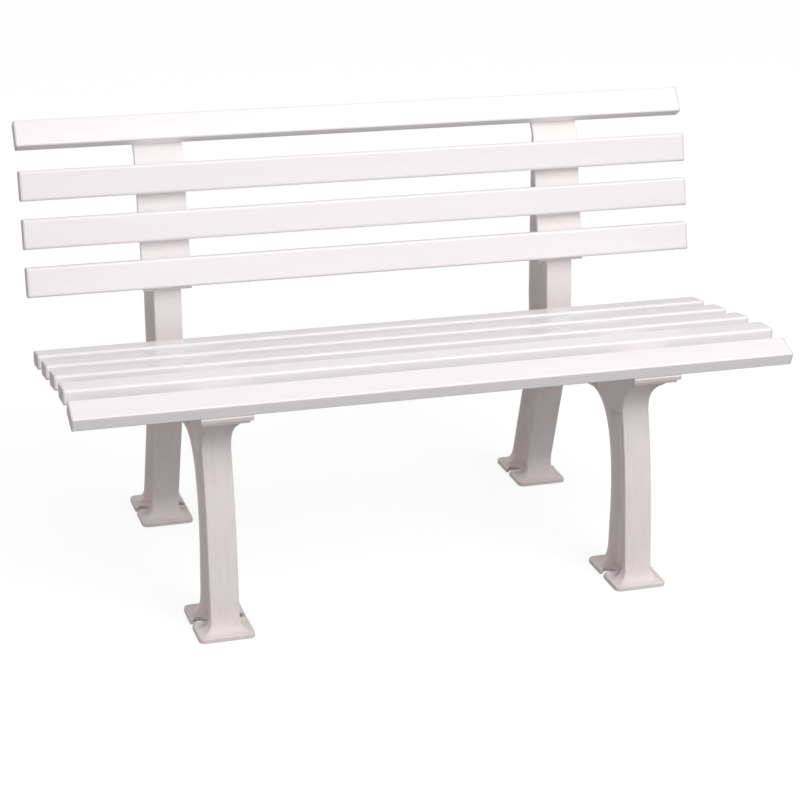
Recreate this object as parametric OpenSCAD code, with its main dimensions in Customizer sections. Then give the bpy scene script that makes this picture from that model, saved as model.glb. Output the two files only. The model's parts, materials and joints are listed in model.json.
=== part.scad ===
// Garden bench: nine hollow plastic slats on two moulded side frames.
// X runs along the bench, Y from front to back and Z up. The origin is on the ground, under the
// middle of the bench. Lengths are in millimetres and angles in degrees.

/* [Bench] */
// Length of the bench over the slat end caps
bench_length = 1200; // [1000:10:1500]
// Distance between the middle planes of the two side frames
frame_spacing = 720; // [560:10:860]

/* [Slats] */
// Width of a seat or back slat
slat_w = 50; // [46:1:54]
// Width of the square-edged slats at the front of the seat and the top of the back
edge_slat_w = 46; // [42:1:50]
// Thickness of every slat
slat_t = 24; // [22:1:26]
// Corner radius of a seat or back slat
slat_r = 5; // [3.5:0.5:8]
// Corner radius of a square-edged slat
edge_slat_r = 3; // [2.5:0.5:4]
// Thickness of a slat's outer wall
slat_wall = 2.4; // [2:0.1:3]
// Thickness of the two ribs inside a slat
slat_rib = 1.8; // [1.2:0.1:2.4]

/* [End caps] */
// Thickness of an end cap's face plate
cap_t = 3; // [2:0.5:4]
// Length of the plugs that reach into the slat
plug_length = 14; // [8:1:20]
// Clearance around each plug
plug_gap = 0.2; // [0.1:0.05:0.4]

/* [Seat and back line] */
// Distance from one seat slat to the next
seat_pitch = 88; // [84:1:92]
// Rise of the seat towards its front
seat_tilt = 9; // [5:0.5:10]
// Rise of the fourth seat slat
crest_tilt = 4.5; // [2:0.5:6]
// Fall of the front seat slat
nose_tilt = 20; // [16:1:22]
// Distance from one back slat to the next
back_pitch = 80; // [76:1:84]
// Lean of the back from upright
back_lean = 14.5; // [13:0.5:16]
// Lean of the top slat from upright
top_lean = 35.5; // [30:0.5:38]

/* [Side frames] */
// Thickness of the web in the middle of a frame
web_t = 8; // [6:1:10]
// Width of the rims around the web
rim_w = 48; // [44:1:50]
// Thickness of the rims
rim_t = 8; // [6:1:9]
// Width of the pads that the slats lie on
pad_w = 82; // [78:1:90]
// Width of the lower step under the pads
step_w = 72; // [70:1:76]
// Thickness of the pads, and of the step under them
pad_t = 8; // [7:1:9]

/* [Feet] */
// Length of a foot plate from front to back
foot_l = 130; // [120:5:140]
// Width of a foot plate
foot_w = 92; // [84:2:100]
// Thickness of a foot plate
foot_t = 8; // [6:1:10]
// Corner radius of a foot plate
foot_r = 10; // [6:1:14]
// Width of the open slots for ground anchors
slot_w = 15; // [12:1:16]
// Distance from the middle of a foot to the inner end of each slot
slot_inner = 18; // [16:1:20]
// Radius of the wide inner part of an anchor slot
hole_r = 10.5; // [9:0.5:11]
// Distance of the wide part from a frame's middle plane
hole_x = 31; // [30:0.5:33]
// Distance of the wide part behind the middle of the slot
hole_back = 5.5; // [4:0.5:6]

/* [Screws] */
// Thread diameter
screw_d = 4.8; // [4:0.2:5]
// Length under the head
screw_length = 27; // [24:1:30]
// Diameter of the washer head
screw_head_d = 11; // [9:0.5:12]
// Thickness of the washer head
screw_head_t = 3; // [2:0.5:4]
// Distance of the screws from a frame's middle plane
screw_x = 30; // [28:0.5:30]

/* [Hidden] */
SEAT_SLATS = ["seat_slat_1", "seat_slat_2", "seat_slat_3", "seat_slat_4", "front_seat_slat"];
BACK_SLATS = ["back_slat_1", "back_slat_2", "back_slat_3", "top_back_slat"];
SLATS = concat(SEAT_SLATS, BACK_SLATS);
SIDES = ["left", "right"];
FRAMES = [for (s = SIDES) str(s, "_side_frame")];
CAPS = [for (s = SIDES) for (n = SLATS) str(n, "_", s, "_cap")];
SCREWS = [for (s = SIDES) for (n = ["seat", "back"]) str(s, "_", n, "_screws")];

slat_colour = "#F3F1F2";
frame_colour = "#E6E0E0";
cap_colour = "#E4E1E2";
screw_colour = "#C4C6C8";
over = 1;            // how far a cutting shape runs past the face that it cuts
small_fn = 48;       // facets asked of small round shapes

// ---- Where the slats lie --------------------------------------------------------------------
// A station is [y, z, turn]: the middle of a slat's lower face, and its turn about X.
seat_first = [59.5, 364];
back_first = [149, 483];
nose_half = 30;      // from the bend behind the front slat to the middle of that slat
top_half = 42;       // from the bend below the top slat to the middle of that slat
seat_turns = [-seat_tilt, -seat_tilt, -seat_tilt, -crest_tilt, nose_tilt];
back_turns = [90 - back_lean, 90 - back_lean, 90 - back_lean, 90 - top_lean];
seat_halves = [for (i = [0:4]) i < 4 ? seat_pitch / 2 : nose_half];
back_halves = [for (i = [0:3]) i < 3 ? back_pitch / 2 : top_half];

function along(turn, d) = d * [cos(turn), sin(turn)];
function above(turn, d) = d * [-sin(turn), cos(turn)];
function seat_at(i) = i == 0 ? seat_first
    : seat_bend(i) - along(seat_turns[i], seat_halves[i]);
function seat_bend(i) = seat_at(i - 1) - along(seat_turns[i - 1], seat_halves[i - 1]);
function back_at(i) = i == 0 ? back_first
    : back_bend(i) + along(back_turns[i], back_halves[i]);
function back_bend(i) = back_at(i - 1) + along(back_turns[i - 1], back_halves[i - 1]);
stations = concat(
    [for (i = [0:4]) concat(seat_at(i), seat_turns[i])],
    [for (i = [0:3]) concat(back_at(i), back_turns[i])]
);
function is_edge_slat(i) = i == 4 || i == 8;
function width_of(i) = is_edge_slat(i) ? edge_slat_w : slat_w;
function radius_of(i) = is_edge_slat(i) ? edge_slat_r : slat_r;

// ---- The side frame's outline, seen from the side --------------------------------------------
function bezier(p, n) = [for (k = [0:n]) let (t = k / n, u = 1 - t)
    u * u * u * p[0] + 3 * u * u * t * p[1] + 3 * u * t * t * p[2] + t * t * t * p[3]];
function unit(v) = v / norm(v);
function left_of(v) = [-v[1], v[0]];
// An open line moved to its left by d, with mitred corners
function moved(p, d) = [for (i = [0:len(p) - 1])
    let (
        a = unit(p[max(i, 1)] - p[max(i, 1) - 1]),
        b = unit(p[min(i, len(p) - 2) + 1] - p[min(i, len(p) - 2)])
    )
    p[i] + d * (left_of(a) + left_of(b)) / (1 + a * b)];
function flipped(p) = [for (i = [len(p) - 1:-1:0]) p[i]];
function thick_line(p, d0, d1) = concat(moved(p, d0), flipped(moved(p, d1)));

// The front slat's upper corner reaches furthest forward, and the rear feet reach as far back
half_depth = edge_slat_r - (seat_at(4) + along(nose_tilt, edge_slat_r - edge_slat_w / 2)
    + above(nose_tilt, slat_t - edge_slat_r))[0];
foot_front = -289;                 // front edge of the front foot plate
foot_rear = half_depth - foot_l;   // front edge of the rear foot plate
foot_floor = foot_t / 2;           // the legs run this far down into the plates
flare_z = 48;                      // height where the legs start to spread into the plates
knee_n = 12;                       // steps along each of the large curves
flare_n = 5;                       // steps along each flare

// Front leg, from its foot up to the nose of the seat
front_leg_face = concat(
    bezier([[-286, foot_t], [-274, foot_t + 2], [-269, 24], [-266, flare_z]], flare_n),
    bezier([[-260, 94], [-248, 180], [-238, 226], [-226, 270]], flare_n),
    bezier([[-222, 284], [-211, 314], [-214, 334], [-268, 362]], knee_n)
);
// The arch between the legs, from the front foot over to the rear foot
arch = concat(
    bezier([[-164, foot_t], [-182, foot_t + 2], [-190, 24], [-192, flare_z]], flare_n),
    bezier([[-191, 120], [-185, 235], [-152, 298], [-87, 297]], knee_n),
    bezier([[-22, 287], [93, 272], [141, 262], [156, 198]], knee_n),
    bezier([[194, flare_z], [197, 30], [189, foot_t + 4], [178, foot_t]], flare_n)
);
// The back of the frame, from the rear foot up to the top
back_edge = concat(
    bezier([[298, foot_t], [282, foot_t + 3], [275, 32], [271, flare_z]], flare_n),
    bezier([[240, 172], [224, 236], [218, 300], [231, 362]], knee_n),
    bezier([[245, 530], [254, 660], [259, 706], [244, 729]], flare_n)
);
// The line of the slat pads: from the rear of the seat to its nose, and up the back
seat_line = concat(
    [seat_at(0) + along(seat_turns[0], 50)],
    [for (i = [1:4]) seat_bend(i)],
    [seat_at(4) - along(seat_turns[4], 25)]
);
back_line = concat(
    [back_at(0) - along(back_turns[0], 30)],
    [for (i = [1:3]) back_bend(i)],
    [back_at(3) + along(back_turns[3], 25)]
);
post_foot = [136, 354];            // where the post stands on the seat beam
post_bend = [147, 448];            // where the post starts to follow the back slats
outline = concat(
    front_leg_line_down(),
    [[foot_front + 3, foot_floor], [-162, foot_floor]],
    arch,
    [[178, foot_floor], [298, foot_floor]],
    back_edge,
    flipped(moved(back_line, -pad_t)),
    [post_bend, post_foot],
    moved(seat_line, pad_t)
);
function front_leg_line_down() = flipped(front_leg_face);

// The recesses leave a rim along the outline, and reach down into the feet
leg_skip = flare_n + 1;            // points of each contour that belong to its flare; the last is kept
function part_of(p, from, to) = [for (i = [from:to]) p[i]];
arch_inner = moved(arch, rim_t);
back_inner = moved(back_edge, rim_t);
face_inner = moved(flipped(front_leg_face), rim_t);
face_last = len(front_leg_face) - 1;
recess_floor = foot_t + 2;
recess = concat(
    [[foot_front + 34, recess_floor], [-200, recess_floor]],
    part_of(arch_inner, leg_skip - 1, len(arch) - leg_skip),
    [[204, recess_floor], [266, recess_floor]],
    part_of(back_inner, leg_skip - 1, len(back_edge) - 3),
    [for (p = flipped(moved(back_line, -pad_t - rim_t))) if (p[0] < 213) p],
    [post_bend + [rim_t, 0], post_foot + [rim_t, -2]],
    [post_foot + [-34, -18]],
    part_of(moved(seat_line, pad_t + rim_t), 1, 4),
    part_of(face_inner, 4, face_last - leg_skip + 1)
);
knee_low = 284;                    // the recess is shallow between here and knee_rear
knee_rear = -98;
shallow_x = 17;                    // half width left where the recess is shallow

module across(width) {
    rotate([90, 0, 90])
        linear_extrude(width, center = true)
            children();
}

module mirrored_x() {
    children();
    mirror([1, 0, 0])
        children();
}

module at_station(i) {
    translate([0, stations[i][0], stations[i][1]])
        rotate([stations[i][2], 0, 0])
            children();
}

module side_frame(side) {
    color(frame_colour)
        translate([side * frame_spacing / 2, 0, 0])
            difference() {
                union() {
                    frame_beam();
                    slat_pads();
                    foot(foot_front);
                    foot(foot_rear);
                }
                screw_holes();
                anchor_slots(foot_front);
                anchor_slots(foot_rear);
            }
}

// One I-shaped beam that forms both legs, the seat bearer and the post
module frame_beam() {
    reach = rim_w / 2 + over;
    difference() {
        across(rim_w)
            polygon(outline);
        mirrored_x()
            translate([(web_t / 2 + reach) / 2, 0, 0])
                across(reach - web_t / 2)
                    deep_recess();
        mirrored_x()
            translate([(shallow_x + reach) / 2, 0, 0])
                across(reach - shallow_x)
                    polygon(recess);
    }
}

// The recess without the knee where the front leg meets the seat bearer
module deep_recess() {
    difference() {
        polygon(recess);
        translate([foot_front, knee_low])
            square([knee_rear - foot_front, seat_first[1]]);
    }
}

// Broad two-step pads along the top of the seat bearer and the front of the post
module slat_pads() {
    across(pad_w) {
        polygon(thick_line(seat_line, 0, pad_t + over));
        polygon(thick_line(back_line, 0, -pad_t - over));
    }
    across(step_w) {
        polygon(thick_line(seat_line, pad_t - over, 2 * pad_t));
        polygon(thick_line(back_line, over - pad_t, -2 * pad_t));
    }
}

module foot(front) {
    x = foot_w / 2 - foot_r;
    linear_extrude(foot_t)
        union() {
            translate([-foot_w / 2, front + foot_r])
                square([foot_w, foot_l - 2 * foot_r]);
            translate([-x, front])
                square([2 * x, foot_l]);
            for (sx = [-1, 1], y = [foot_r, foot_l - foot_r])
                translate([sx * x, front + y])
                    circle(foot_r, $fn = small_fn);
        }
    foot_ribs(front);
}

// A low rib on each side of the leg, in front of the anchor slot
module foot_ribs(front) {
    rib_w = 7;
    rib_h = 4;
    translate([-foot_w / 2 + foot_r / 2, slot_y(front) - slot_w / 2 - rib_w - 1, foot_t / 2])
        cube([foot_w - foot_r, rib_w, foot_t / 2 + rib_h]);
}

function slot_y(front) = front + foot_l / 2;

// Open slots from both long sides of a foot plate, each with a wide round part inside
module anchor_slots(front) {
    height = foot_t + recess_floor;
    mirrored_x()
        translate([slot_inner + slot_w / 2, slot_y(front), -over]) {
            cylinder(h = height, r = slot_w / 2, $fn = small_fn);
            translate([0, -slot_w / 2, 0])
                cube([foot_w, slot_w, height]);
            translate([hole_x - slot_inner - slot_w / 2, hole_back, 0])
                cylinder(h = height, r = hole_r, $fn = small_fn);
        }
}

module screw_holes() {
    for (i = [0:8])
        at_station(i)
            mirrored_x()
                translate([screw_x, 0, -2 * pad_t - over])
                    cylinder(h = 2 * pad_t + 2 * over, d = screw_d + 0.8, $fn = small_fn);
}

// Slat section: its lower face is on the line through the station
module rounded_box(w, t, r) {
    translate([-w / 2 + r, 0])
        square([w - 2 * r, t]);
    translate([-w / 2, r])
        square([w, t - 2 * r]);
    for (sx = [-1, 1], y = [r, t - r])
        translate([sx * (w / 2 - r), y])
            circle(r, $fn = small_fn);
}

function chamber_w(i) = (width_of(i) - 2 * slat_wall - 2 * slat_rib) / 3;

// The three hollow chambers, each made smaller by gap on every side
module chambers(i, gap) {
    inner_w = width_of(i) - 2 * slat_wall;
    inner_r = max(radius_of(i) - slat_wall, 0.5);
    for (k = [-1:1])
        intersection() {
            translate([0, slat_wall + gap])
                rounded_box(inner_w - 2 * gap, slat_t - 2 * slat_wall - 2 * gap, inner_r);
            translate([k * (chamber_w(i) + slat_rib) - chamber_w(i) / 2 + gap, 0])
                square([chamber_w(i) - 2 * gap, slat_t]);
        }
}

module slat(i) {
    color(slat_colour)
        at_station(i)
            difference() {
                across(bench_length - 2 * cap_t)
                    difference() {
                        rounded_box(width_of(i), slat_t, radius_of(i));
                        chambers(i, 0);
                    }
                for (side = [-1, 1])
                    translate([side * frame_spacing / 2, 0, 0])
                        mirrored_x()
                            translate([screw_x, 0, -over])
                                cylinder(h = slat_wall + 2 * over, d = screw_d + 0.2, $fn = small_fn);
            }
}

// A push-in cap: a face plate of the slat's own section, with one plug for each chamber
module end_cap(i, side) {
    face_x = bench_length / 2 - cap_t / 2;
    color(cap_colour)
        at_station(i)
            union() {
                translate([side * face_x, 0, 0])
                    across(cap_t)
                        rounded_box(width_of(i), slat_t, radius_of(i));
                translate([side * (face_x - plug_length / 2), 0, 0])
                    across(plug_length)
                        chambers(i, plug_gap);
            }
}

// Washer-head screws, driven from below the seat and from behind the back
module screws(side, first, last) {
    color(screw_colour)
        for (i = [first:last])
            at_station(i)
                translate([side * frame_spacing / 2, 0, 0])
                    mirrored_x()
                        translate([screw_x, 0, -2 * pad_t])
                            screw();
}

module screw() {
    tip = 4;
    rotate_extrude($fn = small_fn)
        polygon([
            [0, -screw_head_t],
            [screw_head_d / 2 - 2, -screw_head_t],
            [screw_head_d / 2, -1],
            [screw_head_d / 2, 0],
            [screw_d / 2, 0],
            [screw_d / 2, screw_length - tip],
            [0.6, screw_length],
            [0, screw_length]
        ]);
}

for (s = [0:1]) {
    side_frame(2 * s - 1);
    screws(2 * s - 1, 0, 4);
    screws(2 * s - 1, 5, 8);
}
for (i = [0:8]) {
    slat(i);
    end_cap(i, -1);
    end_cap(i, 1);
}
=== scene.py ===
import json
import math

import bmesh
import bpy
from mathutils import Matrix, Vector
from mathutils.geometry import interpolate_bezier

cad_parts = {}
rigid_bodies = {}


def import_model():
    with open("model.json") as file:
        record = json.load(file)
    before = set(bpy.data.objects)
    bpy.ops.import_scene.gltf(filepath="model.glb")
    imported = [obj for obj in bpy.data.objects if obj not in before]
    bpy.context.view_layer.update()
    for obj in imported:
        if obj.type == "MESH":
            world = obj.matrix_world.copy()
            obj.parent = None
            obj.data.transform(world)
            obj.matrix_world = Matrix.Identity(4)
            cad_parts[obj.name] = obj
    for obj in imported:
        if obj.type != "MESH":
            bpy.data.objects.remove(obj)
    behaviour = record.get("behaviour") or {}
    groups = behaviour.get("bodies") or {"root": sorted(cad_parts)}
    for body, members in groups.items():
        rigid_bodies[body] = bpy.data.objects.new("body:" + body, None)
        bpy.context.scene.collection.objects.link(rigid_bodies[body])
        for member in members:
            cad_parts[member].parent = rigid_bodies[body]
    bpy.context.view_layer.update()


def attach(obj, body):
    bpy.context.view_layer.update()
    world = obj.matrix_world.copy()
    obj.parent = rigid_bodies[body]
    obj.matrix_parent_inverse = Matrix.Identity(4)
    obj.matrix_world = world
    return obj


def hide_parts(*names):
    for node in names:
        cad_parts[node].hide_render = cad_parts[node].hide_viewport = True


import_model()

# ---- Side frames --------------------------------------------------------------------------------
# Each frame is one thick moulding in off-white plastic: an I-shaped beam forms both legs, the seat
# bearer and the post, and carries broad two-step pads under the slats. The legs spread into flat
# feet, which have open slots for ground anchors.

# Lengths are in millimetres, and points are (y, z). The slats' turns are in degrees from level.
SEAT_FIRST, SEAT_PITCH, SEAT_TURNS = Vector((59.5, 364)), 88, (-9, -9, -9, -4.5, 20)
BACK_FIRST, BACK_PITCH, BACK_TURNS = Vector((149, 483)), 80, (75.5, 75.5, 75.5, 54.5)
NOSE_HALF, TOP_HALF = 30, 42                # from the last bend to the last slat's middle
SEAT_ENDS, BACK_ENDS = (50, 25), (30, 25)   # the pads reach this far past the outer slats' middles
FRAME_X = 360                               # from the bench's middle to each frame's middle
RIM_HALF, WEB_HALF, KNEE_HALF = 24, 4, 18
FACE_RIM, ARCH_RIM, BACK_RIM, TOP_RIM = 10, 5.5, 6.5, 9
FLARE_STEPS = 8                             # parts of each curve that spreads a leg into its foot
LEG_LOW, RECESS_LOW = 3, 5                  # both end inside the foot plates
ROOT_LEAN, ROOT_SOFT, LIP_SOFT, KNEE_SOFT = 1.5, 6, 2.2, 9
SHARP = 0.7                                 # radians; a greater angle makes an edge a corner
PAD_T, PAD_W, PAD_LAP = 8, 84, 1
STEP_W, STEP_LAP, STEP_SHORT, PAD_SOFT = 75, 3, 3, 1.5
FOOT_T, FOOT_L, FOOT_W, FOOT_R, FOOT_SOFT = 8, 130, 92, 10, 2.5
FOOT_FRONTS = (-289, 172.7)
FOOT_RIB_HALF, FOOT_RIB_Y, FOOT_RIB_Z, FOOT_RIB_SOFT = 44, (49.5, 56.5), (4, 12), 2
SLOT_R, SLOT_X, SLOT_RUN, SLOT_Z = 7.5, 25.5, 40, 5
HOLE_R, HOLE_X, HOLE_BACK, HOLE_Z = 10.5, 31, 5.5, 5.2
CUTTER_H = 24


def along(turn, distance):
    return distance * Vector((math.cos(math.radians(turn)), math.sin(math.radians(turn))))


def slat_line(first, pitch, turns, last_half, way):
    """Middles of the slats' lower faces, and the bends of the pad line between them"""
    middles, bends = [first], []
    for i in range(1, len(turns)):
        half = pitch / 2 if i < len(turns) - 1 else last_half
        bends.append(middles[-1] + way * along(turns[i - 1], pitch / 2))
        middles.append(bends[-1] + way * along(turns[i], half))
    return middles, bends


seat_middles, seat_bends = slat_line(SEAT_FIRST, SEAT_PITCH, SEAT_TURNS, NOSE_HALF, -1)
back_middles, back_bends = slat_line(BACK_FIRST, BACK_PITCH, BACK_TURNS, TOP_HALF, 1)
seat_line = [seat_middles[0] + along(SEAT_TURNS[0], SEAT_ENDS[0]), *seat_bends,
             seat_middles[-1] - along(SEAT_TURNS[-1], SEAT_ENDS[1])]
back_line = [back_middles[0] - along(BACK_TURNS[0], BACK_ENDS[0]), *back_bends,
             back_middles[-1] + along(BACK_TURNS[-1], BACK_ENDS[1])]


def moved(line, distance):
    """The open line, moved to its left, with mitred corners"""
    out = []
    for i, p in enumerate(line):
        a = (line[max(i, 1)] - line[max(i, 1) - 1]).normalized()
        j = min(i, len(line) - 2)
        b = (line[j + 1] - line[j]).normalized()
        left = Vector((-a.y - b.y, a.x + b.x))
        out.append(p + left * (distance / (1 + a.dot(b))))
    return out


def bend(steps, *points):
    """A smooth curve from the first point to the last, pulled by the two between them"""
    knots = [Vector((y, z, 0)) for y, z in points]
    return [p.to_2d() for p in interpolate_bezier(*knots, steps + 1)]


front_face = (bend(FLARE_STEPS, (-286, 8), (-274, 10), (-269, 24), (-266, 48))
              + bend(8, (-260, 94), (-248, 180), (-238, 226), (-226, 270))
              + bend(16, (-222, 284), (-211, 314), (-214, 334), (-268, 362)))
arch = (bend(FLARE_STEPS, (-164, 8), (-182, 10), (-190, 24), (-192, 48))
        + bend(22, (-191, 120), (-185, 235), (-152, 298), (-87, 297))
        + bend(22, (-22, 287), (93, 272), (141, 262), (156, 198))
        + bend(FLARE_STEPS, (194, 48), (197, 30), (189, 12), (178, 8)))
back_edge = (bend(FLARE_STEPS, (298, 8), (282, 11), (275, 32), (271, 48))
             + bend(16, (240, 172), (224, 236), (218, 300), (231, 362))
             + bend(8, (245, 530), (254, 660), (259, 706), (244, 729)))
outline = (front_face[::-1] + [Vector((-286, LEG_LOW)), Vector((-162, LEG_LOW))] + arch
           + [Vector((178, LEG_LOW)), Vector((298, LEG_LOW))] + back_edge
           + moved(back_line, -PAD_T)[-2::-1] + [Vector((147, 448)), Vector((136, 354))]
           + moved(seat_line, PAD_T))
recess = ([Vector((-252, RECESS_LOW)), Vector((-197, RECESS_LOW))]
          + moved(arch, ARCH_RIM)[FLARE_STEPS:-FLARE_STEPS]
          + [Vector((201, RECESS_LOW)), Vector((266, RECESS_LOW))]
          + moved(back_edge, BACK_RIM)[FLARE_STEPS:-4] + [Vector((230, 671))]
          + [p for p in moved(back_line, -PAD_T - TOP_RIM)[::-1] if p.x < 213]
          + [Vector((156, 449)), Vector((145, 352)), Vector((104, 338))]
          + moved(seat_line, PAD_T + TOP_RIM)[1:5]
          + moved(front_face[::-1], FACE_RIM)[6:-FLARE_STEPS])


def new_loop(bm, x, points):
    return [bm.verts.new((x, p.x, p.y)) for p in points]


def everything(bm):
    return bm.verts[:] + bm.edges[:] + bm.faces[:]


def draw_out(bm, faces, way):
    """Extrudes the faces by this much"""
    new = bmesh.ops.extrude_face_region(bm, geom=faces)["geom"]
    bmesh.ops.translate(bm, verts=[v for v in new if isinstance(v, bmesh.types.BMVert)], vec=way)


def soften(bm, geom, size, steps, affect="EDGES", clamp=False):
    bmesh.ops.bevel(bm, geom=geom, offset=size, offset_type="OFFSET", segments=steps, profile=0.5,
                    affect=affect, material=-1, clamp_overlap=clamp)


# Cuts across the beam, close together above the foot plates and below the carrier under the front
# slat, give the rims enough points to spread there in a round fillet
FOOT_CUTS, NOSE_CUTS = (8.4, 9.5, 11, 13.5, 17, 21, 25), (1, 2.5, 4.5, 7, 10)
FOOT_FLARE, NOSE_FLARE = 20, 12
STILL_HALF = 10                             # what is nearer to the web than this keeps its place
LEG_TOP_Y, LEG_TOP_Z = -205, 300            # the top of the front leg lies before and above these


def flare(radius, height):
    """How far a round fillet has spread at this height above its foot"""
    rest = radius - min(max(height, 0), radius)
    return radius - math.sqrt(radius ** 2 - rest ** 2)


def frame_beam():
    """Half of the I-beam, from its middle plane outwards, then mirrored"""
    bm = bmesh.new()
    outer, inner = new_loop(bm, RIM_HALF, outline), new_loop(bm, RIM_HALF, recess)
    # The rim is two faces, one along the arch and one over the back and the seat. They meet at the
    # front corner of the front leg and at the rear corner of the rear leg.
    front = len(front_face)
    rear = front + len(arch) + 3
    inner_rear = len(arch) - 2 * FLARE_STEPS + 3
    bm.faces.new(outer[front:rear + 1] + inner[:inner_rear + 1][::-1])
    bm.faces.new(outer[rear:] + outer[:front + 1] + [inner[0]] + inner[inner_rear:][::-1])
    pocket = bm.faces.new(inner)
    rim_edges = [e for e in bm.edges if len(e.link_faces) == 1]
    wall = bmesh.ops.extrude_edge_only(bm, edges=rim_edges)
    for v in wall["geom"]:
        if isinstance(v, bmesh.types.BMVert):
            v.co.x = 0
    bmesh.ops.inset_region(bm, faces=[pocket], thickness=ROOT_LEAN, depth=WEB_HALF - RIM_HALF,
                           use_even_offset=True)
    roots = [e for e in pocket.edges if max(v.co.z for v in e.verts) > FOOT_T + 4]
    lips = [e for e in bm.edges if len(e.link_faces) == 2 and e.calc_face_angle() > SHARP
            and min(v.co.x for v in e.verts) > RIM_HALF - 0.1
            and max(v.co.z for v in e.verts) > FOOT_T - 0.2]
    soften(bm, roots, ROOT_SOFT, 5)
    soften(bm, lips, LIP_SOFT, 3)

    for z in FOOT_CUTS:
        bmesh.ops.bisect_plane(bm, geom=everything(bm), plane_co=(0, 0, z), plane_no=(0, 0, 1))
    nose = seat_middles[-1] - along(SEAT_TURNS[-1] + 90, 2 * PAD_T)
    down = -along(SEAT_TURNS[-1] + 90, 1)
    for depth in NOSE_CUTS:
        at = nose + down * depth
        bmesh.ops.bisect_plane(bm, geom=everything(bm), plane_co=(0, at.x, at.y),
                               plane_no=(0, down.x, down.y))
    for v in bm.verts:
        spread = flare(FOOT_FLARE, v.co.z - FOOT_T)
        if v.co.y < LEG_TOP_Y and v.co.z > LEG_TOP_Z:
            spread = flare(NOSE_FLARE, (Vector(v.co.yz) - nose).dot(down))
        v.co.x += spread * max(0, (v.co.x - STILL_HALF) / (RIM_HALF - STILL_HALF)) ** 2
    bmesh.ops.mirror(bm, geom=everything(bm), axis="X", merge_dist=0.01)
    return bm


def knee_block():
    """Thickens the web where the front leg meets the seat bearer, with rounded ends"""
    bm = bmesh.new()
    in_arch, in_seat, in_face = 2, 12, 4    # how far its sides lie inside the beam's own lines
    inside = ([p for p in moved(arch, in_arch) if p.y > 270 and p.x < -60] + [Vector((-98, 352))]
              + moved(seat_line, in_seat)[3:5]
              + [p for p in moved(front_face[::-1], in_face) if 283 < p.y < 350])
    side = bm.faces.new(new_loop(bm, -KNEE_HALF, inside))
    draw_out(bm, [side], (2 * KNEE_HALF, 0, 0))
    bmesh.ops.recalc_face_normals(bm, faces=bm.faces)
    # Its free ends are the low one, across the leg, and the rear one, across the seat bearer
    ends, shortest = [], 28
    for e in bm.edges:
        run = e.verts[0].co - e.verts[1].co
        low = abs(run.z) < 25 and max(v.co.z for v in e.verts) < 300
        rear = abs(run.y) < 20 and max(v.co.y for v in e.verts) > -110
        if abs(run.x) < 0.1 and run.length > shortest and (low or rear):
            ends.append(e)
    soften(bm, ends, KNEE_SOFT, 6)
    return bm


def pad_layer(line, near, far, width, short=0):
    """A layer of the slat pads: a strip beside the pad line, with softened edges"""
    bm = bmesh.new()
    line = [line[0] + (line[1] - line[0]).normalized() * short, *line[1:-1],
            line[-1] + (line[-2] - line[-1]).normalized() * short]
    strip = bm.faces.new(new_loop(bm, -width / 2, moved(line, near) + moved(line, far)[::-1]))
    draw_out(bm, [strip], (width, 0, 0))
    bmesh.ops.recalc_face_normals(bm, faces=bm.faces)
    soften(bm, [e for e in bm.edges if e.calc_face_angle() > SHARP], PAD_SOFT, 3, clamp=True)
    return bm


def foot_plate(front):
    bm = bmesh.new()
    corners = [(-1, 0), (1, 0), (1, 1), (-1, 1)]
    bm.faces.new([bm.verts.new((sx * FOOT_W / 2, front + sy * FOOT_L, 0)) for sx, sy in corners])
    soften(bm, bm.verts[:], FOOT_R, 8, affect="VERTICES")
    draw_out(bm, bm.faces[:], (0, 0, FOOT_T))
    bmesh.ops.recalc_face_normals(bm, faces=bm.faces)
    upper = [e for e in bm.edges if min(v.co.z for v in e.verts) > FOOT_T - 0.1]
    soften(bm, upper, FOOT_SOFT, 3, clamp=True)
    return bm


def softened_box(low, high, soft):
    bm = bmesh.new()
    bmesh.ops.create_cube(bm, size=1)
    low, high = Vector(low), Vector(high)
    bmesh.ops.scale(bm, vec=high - low, verts=bm.verts)
    bmesh.ops.translate(bm, vec=(low + high) / 2, verts=bm.verts)
    soften(bm, bm.edges[:], soft, 3, clamp=True)
    return bm


def foot_rib(front):
    """The low rib on each side of a leg, in front of the anchor slots"""
    (y0, y1), (z0, z1) = FOOT_RIB_Y, FOOT_RIB_Z
    return softened_box((-FOOT_RIB_HALF, front + y0, z0), (FOOT_RIB_HALF, front + y1, z1),
                        FOOT_RIB_SOFT)


def anchor_slot(front, side):
    """Cutter for an open slot: a long bar with one round end"""
    bm = bmesh.new()
    bmesh.ops.create_cone(bm, cap_ends=True, segments=32, radius1=SLOT_R, radius2=SLOT_R,
                          depth=CUTTER_H)
    for v in bm.verts:
        if v.co.x * side > 0.1:
            v.co.x += side * SLOT_RUN
    bmesh.ops.translate(bm, vec=(side * SLOT_X, front + FOOT_L / 2, SLOT_Z), verts=bm.verts)
    return bm


def anchor_hole(front, side):
    """Cutter for the wide inner part of a slot, where the anchor's head goes in"""
    bm = bmesh.new()
    bmesh.ops.create_cone(bm, cap_ends=True, segments=40, radius1=HOLE_R, radius2=HOLE_R,
                          depth=CUTTER_H)
    bmesh.ops.translate(bm, vec=(side * HOLE_X, front + FOOT_L / 2 + HOLE_BACK, HOLE_Z),
                        verts=bm.verts)
    return bm


def as_object(name, bm, scale=0.001, shift=(0, 0, 0)):
    """A finished mesh in metres, whose object sits at the origin"""
    bmesh.ops.scale(bm, vec=(scale,) * 3, verts=bm.verts)
    bmesh.ops.translate(bm, vec=Vector(shift) * scale, verts=bm.verts)
    bmesh.ops.recalc_face_normals(bm, faces=bm.faces)
    mesh = bpy.data.meshes.new(name)
    bm.to_mesh(mesh)
    bm.free()
    obj = bpy.data.objects.new(name, mesh)
    bpy.context.scene.collection.objects.link(obj)
    return obj


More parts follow.
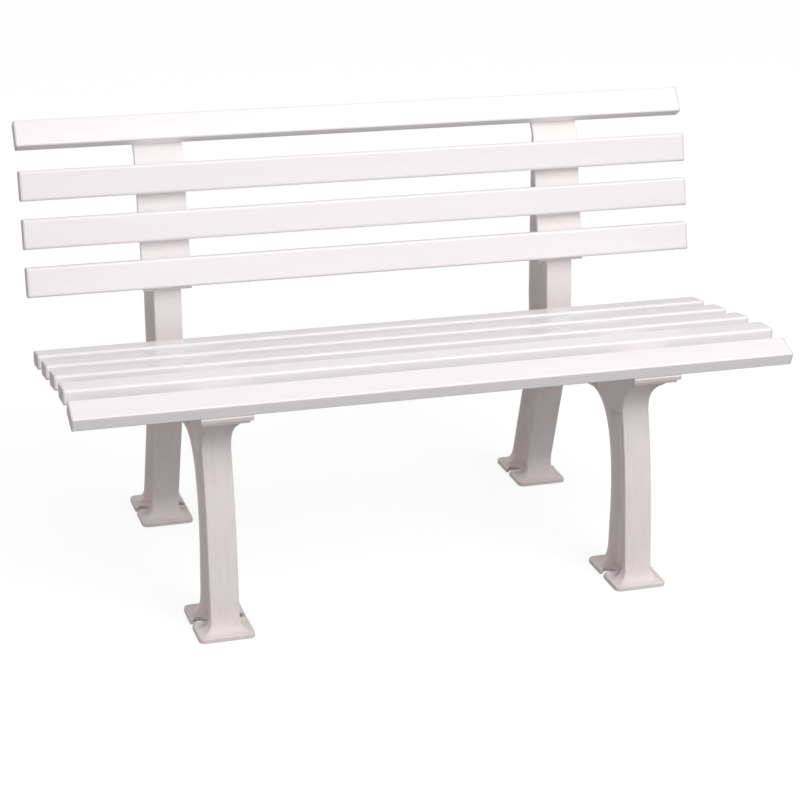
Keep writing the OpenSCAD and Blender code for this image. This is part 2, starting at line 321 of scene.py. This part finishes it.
def combine(base, others, operation):
    """Joins or cuts the base with the others, removes them, and merges doubled points"""
    for other in others:
        step = base.modifiers.new("Combine", "BOOLEAN")
        step.object, step.operation, step.solver = other, operation, "EXACT"
    evaluated = base.evaluated_get(bpy.context.evaluated_depsgraph_get())
    result = bpy.data.meshes.new_from_object(evaluated)
    base.modifiers.clear()
    bm = bmesh.new()
    bm.from_mesh(result)
    bmesh.ops.remove_doubles(bm, verts=bm.verts, dist=5e-6)
    bmesh.ops.dissolve_degenerate(bm, edges=bm.edges, dist=1e-6)
    bm.to_mesh(result)
    bm.free()
    base.data = result
    for other in others:
        bpy.data.objects.remove(other)


def smooth(obj, angle=35):
    obj.data.shade_smooth()
    obj.data.set_sharp_from_angle(angle=math.radians(angle))
    weighted = obj.modifiers.new("Even shading", "WEIGHTED_NORMAL")
    weighted.keep_sharp = True


for name, side in (("left_side_frame", -1), ("right_side_frame", 1)):
    at = (side * FRAME_X, 0, 0)
    moulding = as_object(name.replace("_side", "") + "_moulding", frame_beam(), shift=at)
    combine(moulding, [as_object("part", bm, shift=at) for bm in (
        knee_block(),
        pad_layer(seat_line, 0, PAD_T + PAD_LAP, PAD_W),
        pad_layer(seat_line, PAD_T - STEP_LAP, 2 * PAD_T, STEP_W, short=STEP_SHORT),
        pad_layer(back_line, 0, -PAD_T - PAD_LAP, PAD_W),
        pad_layer(back_line, STEP_LAP - PAD_T, -2 * PAD_T, STEP_W, short=STEP_SHORT),
        *(foot_plate(front) for front in FOOT_FRONTS),
        *(foot_rib(front) for front in FOOT_FRONTS))], "UNION")
    combine(moulding, [as_object("slot", cutter(front, way), shift=at) for front in FOOT_FRONTS
                       for way in (-1, 1) for cutter in (anchor_slot, anchor_hole)], "DIFFERENCE")
    smooth(moulding)
    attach(moulding, "root")
    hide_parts(name)


def linear(code):
    """An sRGB hex colour as linear RGBA"""
    parts = [int(code[i:i + 2], 16) / 255 for i in (0, 2, 4)]
    return [c / 12.92 if c <= 0.04045 else ((c + 0.055) / 1.055) ** 2.4 for c in parts] + [1]


def add_node(tree, kind, inputs=(), **settings):
    """A new node with its settings; an input that is a socket is linked, any other is a value"""
    node = tree.nodes.new(kind)
    for key, value in settings.items():
        setattr(node, key, value)
    for key, value in dict(inputs).items():
        if isinstance(value, bpy.types.NodeSocket):
            tree.links.new(value, node.inputs[key])
        else:
            node.inputs[key].default_value = value
    return node


# Foamed polypropylene, moulded at low pressure: an off-white satin face with faint swirls drawn out
# along the flow, the fine grain of the mould (0.2 mm, drawn four times coarser), and dust at the
# feet. The frames are painted whiter towards the top, most on the posts: painted light.
foamed = bpy.data.materials.new("foamed_polypropylene")
foamed.use_nodes = True
tree = foamed.node_tree
shader = tree.nodes["Principled BSDF"]
coords = add_node(tree, "ShaderNodeTexCoord").outputs["Object"]
SWIRL_MM, CLOUD_MM, GRAIN_MM = (7, 11, 120), 60, 0.8
flow = add_node(tree, "ShaderNodeMapping", {
    "Vector": coords, "Scale": [1000 / mm for mm in SWIRL_MM]})
swirl = add_node(tree, "ShaderNodeTexNoise", {
    "Vector": flow.outputs[0], "Scale": 1, "Detail": 2.5, "Roughness": 0.5,
    "Distortion": 0.8}).outputs["Fac"]
cloud = add_node(tree, "ShaderNodeTexNoise", {
    "Vector": coords, "Scale": 1000 / CLOUD_MM, "Detail": 3, "Roughness": 0.5}).outputs["Fac"]
grain = add_node(tree, "ShaderNodeTexNoise", {
    "Vector": coords, "Scale": 1000 / GRAIN_MM, "Detail": 2, "Roughness": 0.6}).outputs["Fac"]
streak = add_node(tree, "ShaderNodeMapRange", {"Value": swirl, "From Min": 0.35, "From Max": 0.65})
body = add_node(tree, "ShaderNodeMix", {
    0: streak.outputs[0], 6: linear("E7DDDD"), 7: linear("ECE2E3")}, data_type="RGBA")
shade = add_node(tree, "ShaderNodeMapRange", {
    "Value": cloud, "From Min": 0.35, "From Max": 0.7, "To Min": 0, "To Max": 0.35})
aged = add_node(tree, "ShaderNodeMix", {
    0: shade.outputs[0], 6: body.outputs[2], 7: linear("E5DAD6")}, data_type="RGBA")
height = add_node(tree, "ShaderNodeSeparateXYZ", {0: coords}).outputs["Z"]
low = add_node(tree, "ShaderNodeMapRange", {
    "Value": height, "From Min": 0.004, "From Max": 0.055, "To Min": 0.3, "To Max": 0})
dust = add_node(tree, "ShaderNodeMath", {0: low.outputs[0], 1: cloud}, operation="MULTIPLY")
# Painted light: from 0.32 m up to 0.5 m the frame colour is mixed towards a whiter one, lighting
# the posts
painted_light_mask = add_node(tree, "ShaderNodeMapRange", {
    "Value": height, "From Min": 0.32, "From Max": 0.5, "To Min": 0, "To Max": 0.85})
painted_light_colour = add_node(tree, "ShaderNodeMix", {
    0: painted_light_mask.outputs[0], 6: aged.outputs[2], 7: linear("F6F1F1")}, data_type="RGBA")
colour = add_node(tree, "ShaderNodeMix", {
    0: dust.outputs[0], 6: painted_light_colour.outputs[2], 7: linear("C6BAB0")}, data_type="RGBA")
sheen = add_node(tree, "ShaderNodeMapRange", {
    "Value": swirl, "From Min": 0.3, "From Max": 0.7, "To Min": 0.36, "To Max": 0.52})
rough = add_node(tree, "ShaderNodeMath", {0: sheen.outputs[0], 1: dust.outputs[0]}, operation="ADD")
fine = add_node(tree, "ShaderNodeBump", {"Height": grain, "Strength": 0.35, "Distance": 0.0001})
ripple = add_node(tree, "ShaderNodeBump", {
    "Height": swirl, "Strength": 0.18, "Distance": 0.0004, "Normal": fine.outputs[0]})
tree.links.new(colour.outputs[2], shader.inputs["Base Color"])
tree.links.new(rough.outputs[0], shader.inputs["Roughness"])
tree.links.new(ripple.outputs[0], shader.inputs["Normal"])
shader.inputs["IOR"].default_value = 1.49
for piece in [o for o in bpy.data.objects if o.name.endswith("_moulding")]:
    piece.data.materials.clear()
    piece.data.materials.append(foamed)

# ---- Slats --------------------------------------------------------------------------------------
# Nine hollow extrusions in glossy white plastic, each with two ribs inside, lie on the pads. The
# front seat slat and the top back slat have a narrower section with square corners.
LENGTH, CAP_T = 1200, 3
SLAT_T, WALL, RIB = 24, 2.4, 1.8
PLAIN_SLAT, EDGE_SLAT = (50, 5), (46, 3)    # width and corner radius
stations = [*zip(seat_middles, SEAT_TURNS), *zip(back_middles, BACK_TURNS)]
SLAT_NAMES = ["seat_slat_1", "seat_slat_2", "seat_slat_3", "seat_slat_4", "front_seat_slat",
              "back_slat_1", "back_slat_2", "back_slat_3", "top_back_slat"]


def slat_section(bm, name):
    """The end face of a slat, split into its wall, ribs and chambers; returns the chamber faces"""
    width, radius = EDGE_SLAT if name in ("front_seat_slat", "top_back_slat") else PLAIN_SLAT
    corners = ((-1, 0), (1, 0), (1, 1), (-1, 1))
    bm.faces.new([bm.verts.new((0, sy * width / 2, sz * SLAT_T)) for sy, sz in corners])
    soften(bm, bm.verts[:], radius, 8, affect="VERTICES")
    inner = bm.faces[:]
    bmesh.ops.inset_region(bm, faces=inner, thickness=WALL, use_even_offset=True, use_boundary=True)
    chamber = (width - 2 * WALL - 2 * RIB) / 3
    for y in (-chamber / 2 - RIB, -chamber / 2, chamber / 2, chamber / 2 + RIB):
        edges = {e for f in inner for e in f.edges}
        verts = {v for f in inner for v in f.verts}
        cut = bmesh.ops.bisect_plane(bm, geom=[*inner, *edges, *verts], plane_co=(0, y, 0),
                                     plane_no=(0, 1, 0))
        inner = [g for g in cut["geom"] if isinstance(g, bmesh.types.BMFace)]
    return [f for f in inner
            if max(v.co.y for v in f.verts) - min(v.co.y for v in f.verts) > 2 * RIB]


def place(bm, station):
    """Turns a piece about X and sets it down at the middle of its slat's lower face"""
    middle, turn = station
    bmesh.ops.rotate(bm, verts=bm.verts, cent=(0, 0, 0),
                     matrix=Matrix.Rotation(math.radians(turn), 3, "X"))
    bmesh.ops.translate(bm, verts=bm.verts, vec=(0, middle.x, middle.y))


# Rigid PVC, extruded: glossy white, with hair-thin lines from the die along its whole length
# (0.5 mm, drawn at 1.5 mm), faint changes of tone, and short scuffs from use.
pvc = bpy.data.materials.new("extruded_pvc")
pvc.use_nodes = True
tree = pvc.node_tree
shader = tree.nodes["Principled BSDF"]
coords = add_node(tree, "ShaderNodeTexCoord").outputs["Object"]
DIE_LINE_MM, SCUFF_MM, TONE_MM = (900, 1.5, 1.5), (45, 0.9, 0.9), (260, 30, 30)
drawn = add_node(tree, "ShaderNodeMapping", {
    "Vector": coords, "Scale": [1000 / mm for mm in DIE_LINE_MM]})
lines = add_node(tree, "ShaderNodeTexNoise", {
    "Vector": drawn.outputs[0], "Scale": 1, "Detail": 3, "Roughness": 0.65}).outputs["Fac"]
rubbed = add_node(tree, "ShaderNodeMapping", {
    "Vector": coords, "Scale": [1000 / mm for mm in SCUFF_MM]})
scuffs = add_node(tree, "ShaderNodeTexNoise", {
    "Vector": rubbed.outputs[0], "Scale": 1, "Detail": 2, "Roughness": 0.5}).outputs["Fac"]
spread = add_node(tree, "ShaderNodeMapping", {
    "Vector": coords, "Scale": [1000 / mm for mm in TONE_MM]})
tone = add_node(tree, "ShaderNodeTexNoise", {
    "Vector": spread.outputs[0], "Scale": 1, "Detail": 3, "Roughness": 0.5}).outputs["Fac"]
line_mix = add_node(tree, "ShaderNodeMapRange", {"Value": lines, "From Min": 0.3, "From Max": 0.7})
body = add_node(tree, "ShaderNodeMix", {
    0: line_mix.outputs[0], 6: linear("F5F1F2"), 7: linear("F8F5F6")}, data_type="RGBA")
tone_mix = add_node(tree, "ShaderNodeMapRange", {
    "Value": tone, "From Min": 0.4, "From Max": 0.7, "To Min": 0, "To Max": 0.6})
toned = add_node(tree, "ShaderNodeMix", {
    0: tone_mix.outputs[0], 6: body.outputs[2], 7: linear("F4EFEF")}, data_type="RGBA")
worn = add_node(tree, "ShaderNodeMapRange", {
    "Value": scuffs, "From Min": 0.66, "From Max": 0.76, "To Min": 0, "To Max": 0.4})
colour = add_node(tree, "ShaderNodeMix", {
    0: worn.outputs[0], 6: toned.outputs[2], 7: linear("D6D0D1")}, data_type="RGBA")
gloss = add_node(tree, "ShaderNodeMapRange", {
    "Value": lines, "From Min": 0.3, "From Max": 0.7, "To Min": 0.19, "To Max": 0.27})
rough = add_node(tree, "ShaderNodeMath", {0: gloss.outputs[0], 1: worn.outputs[0]}, operation="ADD")
drag = add_node(tree, "ShaderNodeBump", {"Height": lines, "Strength": 0.12, "Distance": 0.0002})
cuts = add_node(tree, "ShaderNodeBump", {
    "Height": worn.outputs[0], "Strength": 0.3, "Distance": 0.0001, "Normal": drag.outputs[0]},
    invert=True)
tree.links.new(colour.outputs[2], shader.inputs["Base Color"])
tree.links.new(rough.outputs[0], shader.inputs["Roughness"])
tree.links.new(cuts.outputs[0], shader.inputs["Normal"])
shader.inputs["IOR"].default_value = 1.53

for name, station in zip(SLAT_NAMES, stations):
    bm = bmesh.new()
    bmesh.ops.delete(bm, geom=slat_section(bm, name), context="FACES_ONLY")
    draw_out(bm, bm.faces[:], (LENGTH - 2 * CAP_T, 0, 0))
    bmesh.ops.translate(bm, verts=bm.verts, vec=(CAP_T - LENGTH / 2, 0, 0))
    place(bm, station)
    slat = as_object(name + "_extrusion", bm)
    smooth(slat)
    slat.data.materials.append(pvc)
    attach(slat, "root")
    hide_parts(name)

# ---- End caps -----------------------------------------------------------------------------------
# Push-in caps in off-white moulded plastic close the ends of the slats. Each has a face plate with
# softened edges, and one plug for each chamber.
PLUG_GAP, PLUG_L, CAP_SOFT = 0.2, 11, 1.2

# Polyethylene, moulded in a spark-eroded mould: a softer, more matt white than the slats, with a
# fine pebbled grain (0.3 mm, drawn at 0.9 mm) and slightly yellowed patches.
polyethylene = bpy.data.materials.new("moulded_polyethylene")
polyethylene.use_nodes = True
tree = polyethylene.node_tree
shader = tree.nodes["Principled BSDF"]
coords = add_node(tree, "ShaderNodeTexCoord").outputs["Object"]
PEBBLE_MM, PATCH_MM = 0.9, 18
pebbles = add_node(tree, "ShaderNodeTexVoronoi", {
    "Vector": coords, "Scale": 1000 / PEBBLE_MM}).outputs["Distance"]
patches = add_node(tree, "ShaderNodeTexNoise", {
    "Vector": coords, "Scale": 1000 / PATCH_MM, "Detail": 3, "Roughness": 0.55}).outputs["Fac"]
patch_mix = add_node(tree, "ShaderNodeMapRange", {
    "Value": patches, "From Min": 0.35, "From Max": 0.65})
colour = add_node(tree, "ShaderNodeMix", {
    0: patch_mix.outputs[0], 6: linear("E6E1E1"), 7: linear("DDD6D4")}, data_type="RGBA")
rough = add_node(tree, "ShaderNodeMapRange", {
    "Value": patches, "From Min": 0.3, "From Max": 0.7, "To Min": 0.34, "To Max": 0.48})
pebbled = add_node(tree, "ShaderNodeBump", {"Height": pebbles, "Strength": 0.3, "Distance": 0.0001})
tree.links.new(colour.outputs[2], shader.inputs["Base Color"])
tree.links.new(rough.outputs[0], shader.inputs["Roughness"])
tree.links.new(pebbled.outputs[0], shader.inputs["Normal"])
shader.inputs["IOR"].default_value = 1.51

for side, word in ((-1, "left"), (1, "right")):
    for name, station in zip(SLAT_NAMES, stations):
        bm = bmesh.new()
        for face in slat_section(bm, name):
            bmesh.ops.inset_region(bm, faces=[face], thickness=PLUG_GAP, use_even_offset=True)
            draw_out(bm, [face], (-PLUG_L, 0, 0))
            bmesh.ops.delete(bm, geom=[face], context="FACES_ONLY")
        border = [e for e in bm.edges if len(e.link_faces) == 1]
        rim = bmesh.ops.extrude_edge_only(bm, edges=border)["geom"]
        bmesh.ops.translate(bm, verts=[v for v in rim if isinstance(v, bmesh.types.BMVert)],
                            vec=(CAP_T, 0, 0))
        bmesh.ops.contextual_create(bm, geom=[e for e in rim if isinstance(e, bmesh.types.BMEdge)])
        bmesh.ops.recalc_face_normals(bm, faces=bm.faces)
        soften(bm, [e for e in bm.edges if min(v.co.x for v in e.verts) > CAP_T - 0.1], CAP_SOFT, 3)
        bmesh.ops.translate(bm, verts=bm.verts, vec=(LENGTH / 2 - CAP_T, 0, 0))
        bmesh.ops.scale(bm, verts=bm.verts, vec=(side, 1, 1))
        place(bm, station)
        cap = as_object(f"{name}_{word}_end_cap", bm)
        smooth(cap)
        cap.data.materials.append(polyethylene)
        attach(cap, "root")
        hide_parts(f"{name}_{word}_cap")

# ---- Screws -------------------------------------------------------------------------------------
# Self-cutting screws with a washer head and a cross recess, in zinc-plated steel. Two hold each
# slat on each frame. They are driven from below the seat and from behind the back.
SCREW_X = 30
SCREW_PROFILE = ((0, -3), (2.2, -2.9), (3.2, -2.55), (3.8, -1.9), (4.1, -1.25), (5.2, -1),
                 (5.5, -0.7), (5.5, 0), (2.4, 0), (2.4, 23), (0.6, 27), (0, 27))    # radius, height
CROSS_HALF, CROSS_ARM, CROSS_Z, CROSS_SOFT = 2.1, 0.5, (-4, -1.4), 0.3

# Bright zinc plating on steel: cool grey, in small dull and bright patches, with fine turning
# marks (0.1 mm, drawn at 0.25 mm).
zinc = bpy.data.materials.new("zinc_plated_steel")
zinc.use_nodes = True
tree = zinc.node_tree
shader = tree.nodes["Principled BSDF"]
coords = add_node(tree, "ShaderNodeTexCoord").outputs["Object"]
SPANGLE_MM, MARK_MM = 1.6, 0.25
spangle = add_node(tree, "ShaderNodeTexNoise", {
    "Vector": coords, "Scale": 1000 / SPANGLE_MM, "Detail": 3, "Roughness": 0.6}).outputs["Fac"]
marks = add_node(tree, "ShaderNodeTexNoise", {
    "Vector": coords, "Scale": 1000 / MARK_MM, "Detail": 2, "Roughness": 0.5}).outputs["Fac"]
dull = add_node(tree, "ShaderNodeMapRange", {"Value": spangle, "From Min": 0.35, "From Max": 0.65})
colour = add_node(tree, "ShaderNodeMix", {
    0: dull.outputs[0], 6: linear("CFD1D4"), 7: linear("A8ABB0")}, data_type="RGBA")
rough = add_node(tree, "ShaderNodeMapRange", {
    "Value": spangle, "From Min": 0.3, "From Max": 0.7, "To Min": 0.26, "To Max": 0.48})
turned = add_node(tree, "ShaderNodeBump", {"Height": marks, "Strength": 0.3, "Distance": 0.00005})
tree.links.new(colour.outputs[2], shader.inputs["Base Color"])
tree.links.new(rough.outputs[0], shader.inputs["Roughness"])
tree.links.new(turned.outputs[0], shader.inputs["Normal"])
shader.inputs["Metallic"].default_value = 1

bm = bmesh.new()
profile = [bm.verts.new((r, 0, z)) for r, z in SCREW_PROFILE]
edges = [bm.edges.new(pair) for pair in zip(profile, profile[1:])]
bmesh.ops.spin(bm, geom=profile + edges, cent=(0, 0, 0), axis=(0, 0, 1), angle=math.tau, steps=32,
               use_merge=True)
bmesh.ops.remove_doubles(bm, verts=bm.verts, dist=0.001)
pattern = as_object("screw_pattern", bm, scale=1)
z0, z1 = CROSS_Z
combine(pattern, [as_object("recess", softened_box((-x, -y, z0), (x, y, z1), CROSS_SOFT), scale=1)
                  for x, y in ((CROSS_HALF, CROSS_ARM), (CROSS_ARM, CROSS_HALF))], "DIFFERENCE")

for side, word in ((-1, "left"), (1, "right")):
    for group, rows in (("seat", stations[:5]), ("back", stations[5:])):
        bm = bmesh.new()
        for station in rows:
            for x in (-SCREW_X, SCREW_X):
                one = bmesh.new()
                one.from_mesh(pattern.data)
                bmesh.ops.translate(one, verts=one.verts, vec=(side * FRAME_X + x, 0, -2 * PAD_T))
                place(one, station)
                set_down = bpy.data.meshes.new("screw")
                one.to_mesh(set_down)
                one.free()
                bm.from_mesh(set_down)
                bpy.data.meshes.remove(set_down)
        screws = as_object(f"{word}_{group}_screw_set", bm)
        smooth(screws)
        screws.data.materials.clear()
        screws.data.materials.append(zinc)
        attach(screws, "root")
        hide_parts(f"{word}_{group}_screws")
bpy.data.objects.remove(pattern)

# ---- Floor, light and camera --------------------------------------------------------------------
# A plain white studio: a matt floor that glows a little to the camera, even light from all round, a
# large softbox high in front and a weak fill low on the left. The camera stands at the front left,
# above the seat, and looks down at the bench.
FLOOR_HALF, FLOOR_Z, FLOOR_GLOW = 8, -0.0005, 0.785
floor_mesh = bmesh.new()
bmesh.ops.create_grid(floor_mesh, x_segments=1, y_segments=1, size=FLOOR_HALF)
floor = as_object("studio_floor", floor_mesh, scale=1)
floor.data.transform(Matrix.Translation((0, 0, FLOOR_Z)))
paper = bpy.data.materials.new("white_floor")
paper.use_nodes = True
tree = paper.node_tree
tree.nodes.clear()
seen = add_node(tree, "ShaderNodeLightPath").outputs["Is Camera Ray"]
matt = add_node(tree, "ShaderNodeBsdfDiffuse", {"Color": (0.3, 0.3, 0.3, 1)})
lit = add_node(tree, "ShaderNodeMath", {0: seen, 1: FLOOR_GLOW}, operation="MULTIPLY")
glow = add_node(tree, "ShaderNodeEmission", {"Color": (1, 1, 1, 1), "Strength": lit.outputs[0]})
both = add_node(tree, "ShaderNodeAddShader", {0: matt.outputs[0], 1: glow.outputs[0]})
add_node(tree, "ShaderNodeOutputMaterial", {"Surface": both.outputs[0]})
floor.data.materials.append(paper)

# The room light is weaker on the bench than it looks to the camera, which sees plain white
world = bpy.data.worlds.new("studio")
bpy.context.scene.world = world
world.use_nodes = True
tree = world.node_tree
seen = add_node(tree, "ShaderNodeLightPath").outputs["Is Camera Ray"]
glow = add_node(tree, "ShaderNodeMapRange", {"Value": seen, "To Min": 0.62, "To Max": 1})
tree.nodes["Background"].inputs["Color"].default_value = (1, 1, 1, 1)
tree.links.new(glow.outputs[0], tree.nodes["Background"].inputs["Strength"])


def lamp(name, at, target, size, watts):
    data = bpy.data.lights.new(name, "AREA")
    data.size, data.energy = size, watts
    obj = bpy.data.objects.new(name, data)
    bpy.context.scene.collection.objects.link(obj)
    obj.location = at
    obj.rotation_euler = (Vector(target) - Vector(at)).to_track_quat("-Z", "Y").to_euler()


lamp("front_softbox", (1.63, -3.4, 3.95), (0, 0, 0.4), 3.2, 131)
lamp("low_fill", (-2.4, -3.4, 0.5), (0, 0, 0.25), 1.6, 15)

lens = bpy.data.cameras.new("camera")
lens.lens, lens.sensor_width, lens.sensor_fit = 94.66, 36, "HORIZONTAL"
camera = bpy.data.objects.new("camera", lens)
bpy.context.scene.collection.objects.link(camera)
CAMERA_AT = (-1.0478, -3.2212, 1.5806)
AZIMUTH, PITCH, ROLL = 18.25, 21.13, 1.40
camera.matrix_world = (Matrix.Translation(CAMERA_AT)
                       @ Matrix.Rotation(math.radians(-AZIMUTH), 4, "Z")
                       @ Matrix.Rotation(math.radians(90 - PITCH), 4, "X")
                       @ Matrix.Rotation(math.radians(ROLL), 4, "Z"))
bpy.context.scene.camera = camera
bpy.context.scene.view_settings.view_transform = "Standard"
